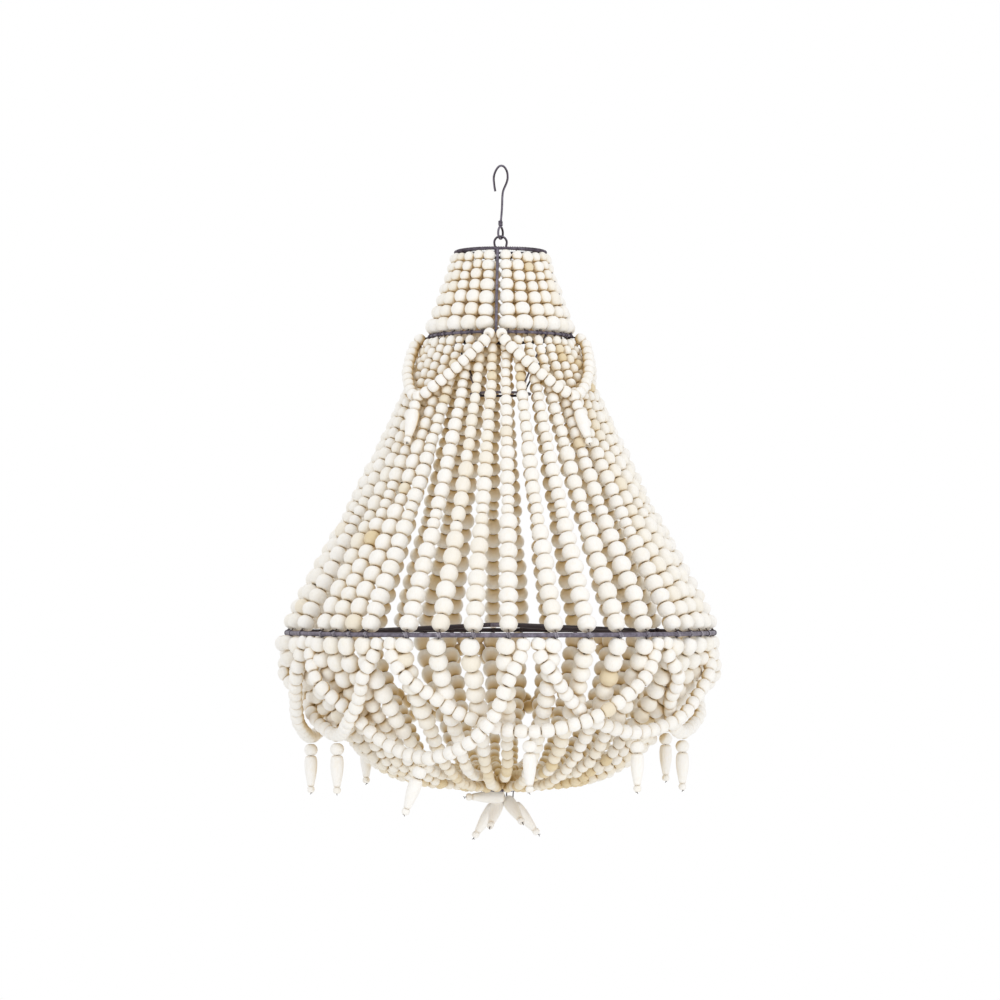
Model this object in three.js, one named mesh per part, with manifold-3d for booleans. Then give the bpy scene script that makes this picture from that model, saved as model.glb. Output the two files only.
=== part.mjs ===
// A beaded chandelier: wire rings that carry strands of turned wooden beads, in a crown, a long
// flared body and a bowl, with swags, hanging drops and a finial of drops.
// Millimetres, +Z up. The origin is the inside top of the hook, where the chandelier hangs.
// Angles are in degrees from the front (-Y) towards +X.
import * as THREE from "three";
import { mergeVertices } from "three/addons/utils/BufferGeometryUtils.js";
import Module from "manifold-3d";

const wasm = await Module();
wasm.setup();

const seatGap = 0.3; // between pieces that rest on each other
const tieWire = 1.6; // diameter of the soft wire that the beads are threaded and tied on
const shortEdge = 0.05; // edges shorter than this are merged where pieces join

// Hook
const hookWire = 3;
const hookBendRadius = 8; // centreline of the bend
const hookBendHeight = 11; // from the bend's centre up to its inside top
const hookThroatDrop = 24; // how far the open end reaches down from the inside top
const hookShankTop = 33; // where the shank comes back under the bend
const hookEyeRadius = 6; // centreline of the closed eye
const hookEyeTurn = 55; // the eye is twisted this far out of the bend's plane

// Crown frame: hanging loop, crossbar, crown ring and the rods down to the neck ring
const loopTop = -94.5; // centreline of the loop's top
const loopWire = 3;
const loopRadius = 8.5;
const crossbarWire = 3.4;
const crownZ = -117;
const crownRadius = 60;
const crownWire = 3.5;
const neckZ = -232;
const neckRadius = 96;
const neckWire = 4;
const rodWire = 4;
const rodCount = 4;
const rodTurn = -3.6; // the front rod stands a little left of the middle

// Lamp ring, hung under the neck ring
const lampZ = -309;
const lampRadius = 40;
const lampWire = 3.5;
const lampStayWire = 3;
const lampStayCount = 4;
const lampStayTurn = 41.4;

// Waist ring and its spider
const waistZ = -632;
const waistRadius = 288;
const waistWire = 6;
const spiderWire = 5;
const spiderHubRadius = 18;
const spiderHubRise = 12;
const spiderArmCount = 4;
const spiderArmTurn = 41.4;

// Bowl and the hub ring under it
const bowlDepth = 211;
const hubZ = waistZ - bowlDepth;
const hubRadius = 39;
const hubWire = 3;

// Strands
const crownStrandsPerGroup = 6;
const crownStrandPitch = 14;
const moduleCount = 10; // the pattern at the waist repeats this often
const moduleFirst = 8; // angle of the first swag peak
const strandsPerModule = 4;
const waistStrandPitch = 8; // within a module; the rest of it is the gap at a swag peak
const bowlGroupCount = 5;
const fullTurn = 360;
const neckShare = 0.46; // how thick a strand is between two beads, of the bead's diameter

// Bead diameters and how many bumps of each, from the top. Small beads share a bump in pairs.
const smallBead = 14;
const smallCrownBead = 15;
const mediumBead = 16;
const largeBead = 20;
const bowlMiddleBead = 18;
const biggestBead = 25;
const bowlEndBead = 12.5;
const crownBumps = [smallCrownBead, mediumBead, largeBead, largeBead];
const bodyBumps = [
  smallBead, smallBead, mediumBead, mediumBead, largeBead, biggestBead, biggestBead, biggestBead,
];
const bowlBumps = [biggestBead, biggestBead, bowlMiddleBead, mediumBead, bowlEndBead];

// Centreline of a body strand. Each row: how far its radius and its height have gone from the
// neck ring (0) to the waist ring (1).
const bodyShares = [
  [0.198, 0.23],
  [0.5286, 0.57],
  [0.901, 0.9075],
  [0.979, 0.98],
];
// Centreline of a bowl strand. Each row: how far its radius is from the hub ring (0) to the
// waist ring (1), and its depth from the waist ring (0) to the hub ring (1).
const bowlShares = [
  [1, 0.071],
  [0.848, 0.403],
  [0.667, 0.654],
  [0.538, 0.815],
  [0.361, 0.923],
  [0.165, 0.962],
  [0.06, 0.975],
];
const bowlLift = 15; // every second bowl strand lies this much higher near the hub
const bowlLiftShares = [0.45, 0.8]; // on the way in, between these

// Waist swags: each hangs from the peak before its own to the peak after it
const swagBead = 18;
const swagBumpCount = 11;
const swagLengthSteps = 100; // for measuring half a swag
const swagDropShare = 0.583; // depth of the first swag's low point, as a share of the bowl's
const swagDrop = swagDropShare * bowlDepth;
const swagHeadDrop = 20; // depth of the bead at its end
const swagWidestShare = 1.028; // its widest radius, as a share of the waist ring's
const swagWeave = 13.5; // to one side or the other, where two swags cross
// The low point of each swag: radius as a share of the waist ring's, depth as a share of the drop,
// and how far it lies to one side, as a share of a module.
const swagLowShares = [
  [0.92, 1, 0],
  [0.885, 1.033, 0],
  [0.858, 1.081, 0],
  [0.885, 1.057, 0],
  [0.885, 1.041, 0],
  [0.885, 1.057, 0],
  [0.948, 1.122, 0],
  [0.913, 1.154, 0],
  [0.833, 1.089, 0],
  [0.86, 1.283, 0.135],
];
// How far each swag peak is from its even place, as a share of a module.
const swagPeakShares = [0, 0.08, -0.04, 0, 0, 0, 0, 0, 0.12, -0.07];
// Half of a swag from its low point. Each row: angle as a share of a module, how far its radius
// and its depth have gone from the low point (0) to its end (1), and its share of the weave.
const swagShares = [
  [0, 0, 0, 0],
  [0.278, 0.073, 0.065, 0.6],
  [0.5, 0.3, 0.2, 1],
  [0.667, 0.52, 0.4, 0.8],
  [0.833, 1, 0.7, 0],
  [0.939, 0.93, 1, 0],
];

// Neck swags: each hangs between two rods and rests on the body strands
const neckSwagCount = 4;
const neckSwagBead = 15.5;
const neckSwagBumpCount = 7;
const neckSwagDrop = 86; // depth of its low point under the neck ring
const neckSwagReach = 41.5; // degrees, where its wire is tied to the neck ring
// Half of a neck swag from its low point. Each row: angle as a share of the reach, depth as a
// share of the drop, and how far it lies off the strands, as a share of two beads' half widths.
const neckSwagShares = [
  [0, 1, 0.96],
  [0.2, 0.89, 0.96],
  [0.35, 0.75, 0.96],
  [0.53, 0.58, 0.95],
  [0.73, 0.36, 0.95],
  [0.93, 0.14, 0.95],
  [0.975, 0.05, 0.8],
];

// Hanging drops: a round bead, a turned drop and a small end bead on one wire
const dropLength = 41;
const dropWidth = 17.5;
const dropTopWidth = 12;
const dropEndWidth = 9;
const dropWidestShare = 0.28; // of its length
const endBead = 10;
const pendantWire = 1.2;
const pendantGap = 1; // bare wire between the pieces of a pendant
const neckPendantBead = 14.5;
const waistPendantBead = 18.5;
const waistPendantTilts = [0, 0, 0, 0, 0, 0, 0, 0, 0, -21]; // degrees sideways, as they rest
const neckPendantTilts = [0, 0, 0, 13];
const roundSides = 6;
const ringSides = 6;
const waistSegments = 40;
const neckSegments = 36;

// Finial
const finialLength = 44;
const finialWire = 1.6;

const degrees = Math.PI / 180;
const down = new THREE.Vector3(0, 0, -1);

const paint = (color, roughness, metalness) =>
  new THREE.MeshStandardMaterial({ color, roughness, metalness });
const beadWood = () => paint(0xe9dfcb, 0.6, 0);
const darkSteel = () => paint(0x4b4648, 0.5, 0.7);

const part = new THREE.Group();

function addPiece(name, geometry, material) {
  const mesh = new THREE.Mesh(geometry, material);
  mesh.name = name;
  part.add(mesh);
  return mesh;
}

// A place on a circle round the vertical axis, at an angle from the front.
function onCircle(radius, angle, z) {
  return new THREE.Vector3(radius * Math.sin(angle * degrees), -radius * Math.cos(angle * degrees), z);
}

const outward = (angle) => onCircle(1, angle, 0);
const fromAxis = (point) => point.clone().setZ(0).normalize();
const sideways = (angle) => onCircle(1, angle + 90, 0);

// One closed tube through stations of { point, tangent, across, radius }, with its section set
// out from the direction across.
function tube(stations, sides) {
  const positions = [];
  for (const { point, tangent, across, radius } of stations) {
    const up = new THREE.Vector3().crossVectors(tangent, across).normalize();
    const side = new THREE.Vector3().crossVectors(up, tangent).normalize();
    for (let s = 0; s < sides; s++) {
      const turn = (s / sides) * 2 * Math.PI;
      const corner = point
        .clone()
        .addScaledVector(side, radius * Math.cos(turn))
        .addScaledVector(up, radius * Math.sin(turn));
      positions.push(corner.x, corner.y, corner.z);
    }
  }
  const faces = [];
  const last = (stations.length - 1) * sides;
  for (let s = 1; s < sides - 1; s++) {
    faces.push(0, s + 1, s);
    faces.push(last, last + s, last + s + 1);
  }
  for (let i = 0; i < last; i += sides) {
    for (let s = 0; s < sides; s++) {
      const next = (s + 1) % sides;
      faces.push(i + s, i + next, i + sides + next);
      faces.push(i + s, i + sides + next, i + sides + s);
    }
  }
  const geometry = new THREE.BufferGeometry();
  geometry.setAttribute("position", new THREE.Float32BufferAttribute(positions, 3));
  geometry.setIndex(faces);
  return geometry;
}

// A plain wire along a curve.
function wire(curve, diameter, steps, sides, across) {
  const stations = [];
  for (let i = 0; i <= steps; i++) {
    stations.push({
      point: curve.getPointAt(i / steps),
      tangent: curve.getTangentAt(i / steps),
      across,
      radius: diameter / 2,
    });
  }
  return tube(stations, sides);
}

function straightWire(from, to, diameter, sides) {
  const line = new THREE.LineCurve3(from, to);
  const along = new THREE.Vector3().subVectors(to, from).normalize();
  const across = Math.abs(along.z) > 0.9 ? new THREE.Vector3(1, 0, 0) : down;
  return wire(line, diameter, 1, sides, across);
}

function smooth(points) {
  return new THREE.CatmullRomCurve3(points, false, "centripetal");
}

// The stations of beads along a curve, with bare wire at both ends and a bump for each bead or
// pair of beads, whose lengths are in the same ratio as their diameters. The middle of the row of
// bumps comes at the given distance along the curve.
function beadStations(curve, bumps, headLength, tailLength, acrossAt, middle = curve.getLength() / 2) {
  const length = curve.getLength();
  const half = length / 2;
  const total = bumps.reduce((sum, diameter) => sum + diameter, 0);
  const perDiameter = (length - headLength - tailLength) / total;
  const stations = [];
  const put = (distance, diameter) => {
    const before = (distance * middle) / half;
    const after = length - ((length - distance) * (length - middle)) / half;
    const share = Math.min((distance < half ? before : after) / length, 1);
    const point = curve.getPointAt(share);
    const tangent = curve.getTangentAt(share);
    stations.push({ point, tangent, across: acrossAt(point, tangent), radius: diameter / 2 });
  };
  let at = headLength;
  put(0, tieWire);
  bumps.forEach((diameter, i) => {
    const end = at + diameter * perDiameter;
    const next = bumps[i + 1];
    put((at + end) / 2, diameter);
    if (next) put(end, Math.min(diameter, next) * neckShare);
    at = end;
  });
  put(length, tieWire);
  return stations;
}

// Strands that are threaded on one wire: down the first, along the ring, up the second, and so
// on. Each entry lists a strand's stations from top to bottom.
function threaded(strands) {
  const route = [];
  strands.forEach((stations, i) => {
    const goesUp = i % 2 === 1;
    const run = stations.map((station) => ({
      ...station,
      tangent: goesUp ? station.tangent.clone().negate() : station.tangent.clone(),
    }));
    if (goesUp) run.reverse();
    route.push(run);
  });
  route.forEach((run, i) => {
    if (i === 0) return;
    const end = route[i - 1][route[i - 1].length - 1];
    const along = new THREE.Vector3().subVectors(run[0].point, end.point).normalize();
    end.tangent.add(along).normalize();
    run[0].tangent.add(along).normalize();
  });
  return tube(route.flat(), 4);
}

// A closed geometry as a manifold-3d solid.
function solidOf(geometry) {
  const bare = geometry.clone();
  bare.deleteAttribute("normal");
  bare.deleteAttribute("uv");
  const merged = mergeVertices(bare);
  const mesh = new wasm.Mesh({
    numProp: 3,
    vertProperties: new Float32Array(merged.attributes.position.array),
    triVerts: new Uint32Array(merged.index.array),
  });
  return new wasm.Manifold(mesh);
}

// Several closed geometries joined into one.
function fused(geometries) {
  const joined = geometries.map(solidOf).reduce((sum, solid) => sum.add(solid)).simplify(shortEdge);
  const mesh = joined.getMesh();
  const positions = [];
  for (let i = 0; i < mesh.numVert; i++) {
    positions.push(...mesh.vertProperties.subarray(i * mesh.numProp, i * mesh.numProp + 3));
  }
  const geometry = new THREE.BufferGeometry();
  geometry.setAttribute("position", new THREE.Float32BufferAttribute(positions, 3));
  geometry.setIndex([...mesh.triVerts]);
  geometry.computeVertexNormals();
  return geometry;
}

// A level ring of six-sided wire whose section has a corner on top and one below.
function ring(radius, wireDiameter, z, segments) {
  const positions = [];
  const faces = [];
  for (let i = 0; i < segments; i++) {
    for (let s = 0; s < ringSides; s++) {
      const turn = ((s + 0.5) / ringSides) * 2 * Math.PI;
      const reach = radius + (wireDiameter / 2) * Math.cos(turn);
      const corner = onCircle(reach, (i / segments) * fullTurn, z + (wireDiameter / 2) * Math.sin(turn));
      positions.push(corner.x, corner.y, corner.z);
      const here = i * ringSides;
      const ahead = ((i + 1) % segments) * ringSides;
      const next = (s + 1) % ringSides;
      faces.push(here + s, ahead + next, here + next);
      faces.push(here + s, ahead + s, ahead + next);
    }
  }
  const geometry = new THREE.BufferGeometry();
  geometry.setAttribute("position", new THREE.Float32BufferAttribute(positions, 3));
  geometry.setIndex(faces);
  return geometry;
}

// How far from the axis the flats of a ring's inner side lie.
const insideOf = (radius, wireDiameter, segments) =>
  (radius - wireDiameter / 2) * Math.cos(Math.PI / segments);

// A place between the neck ring and the waist ring, and one between the hub ring and the waist
// ring, from shares of the way.
const bodyPlace = ([radiusShare, depthShare]) => ({
  radius: neckRadius + radiusShare * (waistRadius - neckRadius),
  z: neckZ + depthShare * (waistZ - neckZ),
});
const bowlPlace = ([radiusShare, depthShare]) => ({
  radius: hubRadius + radiusShare * (waistRadius - hubRadius),
  z: waistZ - depthShare * bowlDepth,
});

// How far from the axis a body strand lies just under the neck, and the slope there.
function strandNearNeck(z) {
  const upper = bodyPlace(bodyShares[0]);
  return neckRadius + ((upper.radius - neckRadius) * (neckZ - z)) / (neckZ - upper.z);
}
function strandLean() {
  const upper = bodyPlace(bodyShares[0]);
  const lower = bodyPlace(bodyShares[1]);
  return Math.atan((lower.radius - upper.radius) / (upper.z - lower.z));
}

// The low point of a waist swag, and of a neck swag.
function swagLow(index) {
  const count = swagLowShares.length;
  const [radiusShare, depthShare, turnShare] = swagLowShares[(index + count) % count];
  return { radius: radiusShare * waistRadius, depth: depthShare * swagDrop, turnShare };
}
function neckSwagPlace([, depthShare, offShare]) {
  const z = neckZ - depthShare * neckSwagDrop;
  const off = (mediumBead + neckSwagBead) / 2 + seatGap;
  return { radius: strandNearNeck(z) + offShare * off, z };
}

function peakTurn(index) {
  const count = swagPeakShares.length;
  return swagPeakShares[(index + count) % count];
}

// The hook: an open bend, a shank and a twisted closed eye.
function makeHook() {
  const bendCentre = hookWire / 2 - hookBendHeight;
  const eyeZ = loopTop - (loopWire + hookWire) / 2 - seatGap + hookEyeRadius;
  const throat = hookThroatDrop - hookWire;
  const points = [
    new THREE.Vector3(-hookBendRadius * 0.6, 0, -throat),
    new THREE.Vector3(-hookBendRadius, 0, bendCentre - hookWire),
    new THREE.Vector3(-hookBendRadius * 0.5, 0, bendCentre + hookBendHeight * 0.7),
    new THREE.Vector3(0, 0, hookWire / 2),
    new THREE.Vector3(hookBendRadius * 0.6, 0, bendCentre + hookBendHeight * 0.7),
    new THREE.Vector3(hookBendRadius, 0, bendCentre - hookWire),
    new THREE.Vector3(hookBendRadius * 0.5, 0, -hookShankTop),
    new THREE.Vector3(0, 0, eyeZ + hookEyeRadius),
  ];
  const across = new THREE.Vector3(0, 1, 0);
  const shank = wire(smooth(points), hookWire, 18, 5, across);
  const eye = new THREE.TorusGeometry(hookEyeRadius, hookWire / 2, 5, 14);
  eye.rotateX(90 * degrees).rotateZ(hookEyeTurn * degrees).translate(0, 0, eyeZ);
  addPiece("hanging_hook", fused([shank, eye]), darkSteel());
}

// Hanging loop, crossbar, crown ring and rods, welded into one frame.
function makeCrownFrame() {
  const legTop = loopTop - loopRadius;
  const footZ = crownZ - crossbarWire / 6;
  const loopPoints = [new THREE.Vector3(-loopRadius, 0, footZ)];
  for (let turn = 180; turn >= 0; turn -= 30) {
    const x = loopRadius * Math.cos(turn * degrees);
    const z = legTop + loopRadius * Math.sin(turn * degrees);
    loopPoints.push(new THREE.Vector3(x, 0, z));
  }
  loopPoints.push(new THREE.Vector3(loopRadius, 0, footZ));
  const across = new THREE.Vector3(0, 1, 0);
  const loop = wire(smooth(loopPoints), loopWire, 12, 5, across);
  const barEnd = crownRadius - crownWire / 8;
  const bar = straightWire(onCircle(barEnd, -90, crownZ), onCircle(barEnd, 90, crownZ), crossbarWire, 5);
  const pieces = [ring(crownRadius, crownWire, crownZ, 24), bar, loop];
  const rodLean = Math.atan((neckRadius - crownRadius) / (crownZ - neckZ));
  const rodEnd = neckZ + neckWire / 2 + seatGap + (rodWire / 2) * Math.sin(rodLean);
  for (let i = 0; i < rodCount; i++) {
    const angle = rodTurn + (i * fullTurn) / rodCount;
    const top = onCircle(crownRadius, angle, crownZ);
    const bottom = onCircle(neckRadius, angle, rodEnd);
    pieces.push(straightWire(top, bottom, rodWire, 5));
  }
  addPiece("crown_frame", fused(pieces), darkSteel());
}

function makeLampRing() {
  const pieces = [ring(lampRadius, lampWire, lampZ, 18)];
  const stayEnd = insideOf(neckRadius, neckWire, neckSegments) - lampStayWire / 2;
  for (let i = 0; i < lampStayCount; i++) {
    const angle = lampStayTurn + (i * fullTurn) / lampStayCount;
    pieces.push(straightWire(onCircle(lampRadius, angle, lampZ), onCircle(stayEnd, angle, neckZ), lampStayWire, 5));
  }
  addPiece("lamp_ring", fused(pieces), darkSteel());
}

function makeSpider() {
  const hubHeight = waistZ + spiderHubRise;
  const armEnd = insideOf(waistRadius, waistWire, waistSegments) - seatGap;
  const pieces = [ring(spiderHubRadius, spiderWire, hubHeight, 12)];
  for (let i = 0; i < spiderArmCount; i++) {
    const angle = spiderArmTurn + (i * fullTurn) / spiderArmCount;
    pieces.push(straightWire(onCircle(spiderHubRadius, angle, hubHeight), onCircle(armEnd, angle, waistZ), spiderWire, 5));
  }
  addPiece("waist_spider", fused(pieces), darkSteel());
}

function makeHubRing() {
  const pieces = [ring(hubRadius, hubWire, hubZ, 20)];
  for (const angle of [0, fullTurn / 4]) {
    const from = onCircle(hubRadius, angle, hubZ);
    pieces.push(straightWire(from, onCircle(hubRadius, angle + fullTurn / 2, hubZ), hubWire, 5));
  }
  addPiece("hub_ring", fused(pieces), darkSteel());
}

// Crown strands, threaded in groups between the rods, from the crown ring to the neck ring.
function makeCrownStrands() {
  const topZ = crownZ - (crownWire + tieWire) / 2 - seatGap;
  const endZ = neckZ + (neckWire + tieWire) / 2 + seatGap;
  const quarter = fullTurn / rodCount;
  const reach = (crownStrandsPerGroup - 1) * crownStrandPitch;
  for (let group = 0; group < rodCount; group++) {
    const first = rodTurn + group * quarter + (quarter - reach) / 2;
    const strands = [];
    for (let i = 0; i < crownStrandsPerGroup; i++) {
      const angle = first + i * crownStrandPitch;
      const top = onCircle(crownRadius, angle, topZ);
      const bottom = onCircle(neckRadius - neckWire / 2, angle, endZ);
      const curve = new THREE.LineCurve3(top, bottom);
      strands.push(beadStations(curve, crownBumps, tieWire, tieWire, () => outward(angle)));
    }
    addPiece("crown_strands_" + (group + 1), threaded(strands), beadWood());
  }
}

// Angles of a module's strands at the waist ring, where they keep clear of the swag peaks, and,
// evenly spaced, at the neck ring.
function moduleStrands(module) {
  const width = fullTurn / moduleCount;
  const start = moduleFirst + module * width;
  const reach = (strandsPerModule - 1) * waistStrandPitch;
  const pitch = width / strandsPerModule;
  return Array.from({ length: strandsPerModule }, (_, i) => {
    const along = i / (strandsPerModule - 1);
    const shift = THREE.MathUtils.lerp(peakTurn(module), peakTurn(module + 1), along) * width;
    return {
      waist: start + (width - reach) / 2 + i * waistStrandPitch + shift,
      even: start + (i + 0.5) * pitch,
    };
  });
}

// Body strands, from the neck ring to the waist ring.
function makeBodyStrands() {
  const startZ = neckZ - (neckWire + tieWire) / 2 - seatGap;
  const endZ = waistZ + (waistWire + tieWire) / 2 + seatGap;
  for (let module = 0; module < moduleCount; module++) {
    const strands = moduleStrands(module).map(({ waist, even }) => {
      const points = [onCircle(neckRadius, even, startZ)];
      for (const row of bodyShares) {
        const { radius, z } = bodyPlace(row);
        const [, depthShare] = row;
        points.push(onCircle(radius, even + (waist - even) * depthShare, z));
      }
      points.push(onCircle(waistRadius, waist, endZ));
      return beadStations(smooth(points), bodyBumps, tieWire, tieWire, () => outward(even));
    });
    addPiece("body_strands_" + (module + 1), threaded(strands), beadWood());
  }
}

// Bowl strands, from the waist ring down and in to the hub ring.
function bowlStrand(waist, even, lift) {
  const points = [onCircle(waistRadius, waist, waistZ - (waistWire + tieWire) / 2 - seatGap)];
  for (const row of bowlShares) {
    const inShare = 1 - row[0];
    const { radius, z } = bowlPlace(row);
    const raise = lift * THREE.MathUtils.smoothstep(inShare, ...bowlLiftShares);
    points.push(onCircle(radius, waist + (even - waist) * inShare, z + raise));
  }
  points.push(onCircle(hubRadius, even, hubZ + (hubWire + tieWire) / 2 + seatGap));
  const side = sideways(even);
  const acrossAt = (point, tangent) => new THREE.Vector3().crossVectors(tangent, side);
  return beadStations(smooth(points), bowlBumps, tieWire, tieWire, acrossAt);
}

function makeBowlStrands() {
  const modulesPerGroup = moduleCount / bowlGroupCount;
  for (let group = 0; group < bowlGroupCount; group++) {
    const strands = [];
    for (let m = 0; m < modulesPerGroup; m++) {
      moduleStrands(group * modulesPerGroup + m).forEach(({ waist, even }, i) => {
        strands.push(bowlStrand(waist, even, i % 2 ? bowlLift : 0));
      });
    }
    addPiece("bowl_strands_" + (group + 1), threaded(strands), beadWood());
  }
}

// The points of a whole swag from the rows of its half line, mirrored about its low point.
function swagPoints(half, place) {
  const left = half.slice(1).reverse();
  return [...left.map((row) => place(row, -1)), ...half.map((row) => place(row, 1))];
}

function makeWaistSwags() {
  const startZ = waistZ - waistWire / 2 - seatGap;
  const width = fullTurn / moduleCount;
  const widest = swagWidestShare * waistRadius;
  const [endShare] = swagShares[swagShares.length - 1];
  for (let i = 0; i < moduleCount; i++) {
    const middle = moduleFirst + i * width;
    const own = swagLow(i);
    const place = ([angleShare, outShare, riseShare, weaveShare], hand) => {
      const beside = swagLow(i + hand);
      const low = own.radius + ((beside.radius - own.radius) * weaveShare) / 2;
      const radius = low + outShare * (widest - low) + hand * weaveShare * swagWeave;
      const depth = own.depth - riseShare * (own.depth - swagHeadDrop);
      const shift = THREE.MathUtils.lerp(own.turnShare, peakTurn(i + hand), outShare);
      const turn = hand * angleShare + shift;
      return onCircle(radius, middle + turn * width, waistZ - depth);
    };
    const endAngle = (hand) => middle + (hand * endShare + peakTurn(i + hand)) * width;
    const curve = smooth([
      onCircle(waistRadius, endAngle(-1), startZ),
      ...swagPoints(swagShares, place),
      onCircle(waistRadius, endAngle(1), startZ),
    ]);
    const bumps = Array(swagBumpCount).fill(swagBead);
    const toLow = curve.getLengths(2 * swagLengthSteps)[swagLengthSteps];
    const stations = beadStations(curve, bumps, swagBead / 2, swagBead / 2, fromAxis, toLow);
    addPiece("waist_swag_" + (i + 1), tube(stations, 4), beadWood());
  }
}

function makeNeckSwags() {
  const tieRadius = neckRadius + neckWire / 2 + seatGap;
  for (let i = 0; i < neckSwagCount; i++) {
    const middle = rodTurn + ((i + 0.5) * fullTurn) / neckSwagCount;
    const place = (row, hand) => {
      const { radius, z } = neckSwagPlace(row);
      return onCircle(radius, middle + hand * row[0] * neckSwagReach, z);
    };
    const curve = smooth([
      onCircle(tieRadius, middle - neckSwagReach, neckZ),
      ...swagPoints(neckSwagShares, place),
      onCircle(tieRadius, middle + neckSwagReach, neckZ),
    ]);
    const bumps = Array(neckSwagBumpCount).fill(neckSwagBead);
    const stations = beadStations(curve, bumps, neckSwagBead / 2, neckSwagBead / 2, fromAxis);
    addPiece("neck_swag_" + (i + 1), tube(stations, roundSides), beadWood());
  }
}

// The profile of a pendant down its wire, from the swag bead that it hangs on.
function pendantGeometry(hangBead, roundBead) {
  const stub = pendantWire / 2;
  const profile = [];
  let z = -(hangBead / 2 + seatGap);
  const put = (radius, drop) => {
    z -= drop;
    profile.push(new THREE.Vector2(radius, z));
  };
  put(0, 0);
  put(stub, 0);
  put(stub, pendantGap);
  put(roundBead / 2, roundBead / 2);
  put(stub, roundBead / 2);
  put(dropTopWidth / 2, pendantGap);
  put(dropWidth / 2, dropLength * dropWidestShare);
  put(dropEndWidth / 2, dropLength * (1 - dropWidestShare));
  put(stub, 0);
  put(endBead / 2, endBead / 2);
  put(0, endBead / 2);
  return new THREE.LatheGeometry(profile.reverse(), roundSides).rotateX(90 * degrees);
}

// Hangs a pendant at a place, leaning out and tilted sideways.
function hang(mesh, place, angle, lean, tilt) {
  mesh.position.copy(place);
  mesh.rotation.set(-lean, -tilt * degrees, angle * degrees, "ZYX");
}

function makePendants() {
  for (let i = 0; i < moduleCount; i++) {
    const { radius, depth, turnShare } = swagLow(i);
    const angle = moduleFirst + ((i + turnShare) * fullTurn) / moduleCount;
    const mesh = addPiece("waist_pendant_" + (i + 1), pendantGeometry(swagBead, waistPendantBead), beadWood());
    hang(mesh, onCircle(radius, angle, waistZ - depth), angle, 0, waistPendantTilts[i]);
  }
  const { radius, z } = neckSwagPlace(neckSwagShares[0]);
  for (let i = 0; i < neckSwagCount; i++) {
    const angle = rodTurn + ((i + 0.5) * fullTurn) / neckSwagCount;
    const mesh = addPiece("neck_pendant_" + (i + 1), pendantGeometry(neckSwagBead, neckPendantBead), beadWood());
    hang(mesh, onCircle(radius, angle, z), angle, strandLean(), neckPendantTilts[i]);
  }
}

// Finial drops, each on a wire that is tied under the hub ring's crossing. Each row, as shares of
// a drop's width: where the wire starts (x, y), where the drop's wide end is from there on (x, y,
// depth), and then the direction in which the drop points (x, y, z).
const finialShares = [
  [0, -0.45, 0.3, -0.3, 0.48, -1, -0.1, 0],
  [0, 0.9, -0.46, -0.1, 1.2, -0.535, 0, -0.845],
  [-0.34, 0, 0.17, 0, 0.88, -0.22, -0.75, -0.62],
  [1, 0, 0.03, 0.69, 1.15, 0.62, 0, -0.76],
  [0.5, 0, 0, 0, 0.68, 0.4, -0.71, -0.585],
];

function makeFinial() {
  const tieZ = hubZ - hubWire / 2 - finialWire / 4 - seatGap;
  finialShares.forEach(([x, y, onX, onY, depth, ...aimShares], i) => {
    const start = new THREE.Vector3(x * dropWidth, y * dropWidth, tieZ);
    const top = new THREE.Vector3(onX * dropWidth, onY * dropWidth, -depth * dropWidth).add(start);
    const aim = new THREE.Vector3(...aimShares).normalize();
    const profile = [
      [0, 0],
      [dropTopWidth / 2, 0],
      [dropWidth / 2, finialLength * dropWidestShare],
      [dropEndWidth / 2, finialLength],
      [endBead / 2, finialLength + endBead / 2],
      [0, finialLength + endBead],
    ].map(([radius, along]) => new THREE.Vector2(radius, along));
    const drop = new THREE.LatheGeometry(profile, roundSides);
    drop.applyQuaternion(new THREE.Quaternion().setFromUnitVectors(new THREE.Vector3(0, 1, 0), aim));
    drop.translate(top.x, top.y, top.z);
    const sunk = top.clone().addScaledVector(aim, finialWire);
    const lead = straightWire(start, sunk, finialWire, 5);
    addPiece("finial_drop_" + (i + 1), fused([drop, lead]), beadWood());
  });
}

makeHook();
makeCrownFrame();
addPiece("neck_ring", ring(neckRadius, neckWire, neckZ, neckSegments), darkSteel());
makeLampRing();
addPiece("waist_ring", ring(waistRadius, waistWire, waistZ, waistSegments), darkSteel());
makeSpider();
makeHubRing();
makeCrownStrands();
makeBodyStrands();
makeBowlStrands();
makeWaistSwags();
makeNeckSwags();
makePendants();
makeFinial();

export default part;
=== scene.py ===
# Beaded chandelier: turned wooden beads, wires, rings and drops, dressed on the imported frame.
# Lengths are in millimetres until a mesh is made, angles in degrees from the front (-Y) to +X.
import math
import random

import bpy
import numpy as np
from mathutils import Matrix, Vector
from mathutils.kdtree import KDTree


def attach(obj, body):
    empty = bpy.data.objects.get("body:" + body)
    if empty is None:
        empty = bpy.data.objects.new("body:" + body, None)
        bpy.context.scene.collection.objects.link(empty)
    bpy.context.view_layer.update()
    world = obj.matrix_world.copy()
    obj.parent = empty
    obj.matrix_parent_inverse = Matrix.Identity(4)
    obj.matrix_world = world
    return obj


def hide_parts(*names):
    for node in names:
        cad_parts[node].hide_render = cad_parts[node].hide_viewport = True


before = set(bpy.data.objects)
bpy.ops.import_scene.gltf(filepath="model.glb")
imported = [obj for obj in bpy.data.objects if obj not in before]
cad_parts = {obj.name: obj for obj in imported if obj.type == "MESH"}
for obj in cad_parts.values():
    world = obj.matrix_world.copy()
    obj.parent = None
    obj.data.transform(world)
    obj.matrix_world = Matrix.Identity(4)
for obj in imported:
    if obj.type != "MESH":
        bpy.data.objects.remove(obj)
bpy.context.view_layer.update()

MM = 0.001
FULL_TURN = 360.0
X_WAY, Y_WAY, Z_WAY = np.eye(3)
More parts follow.
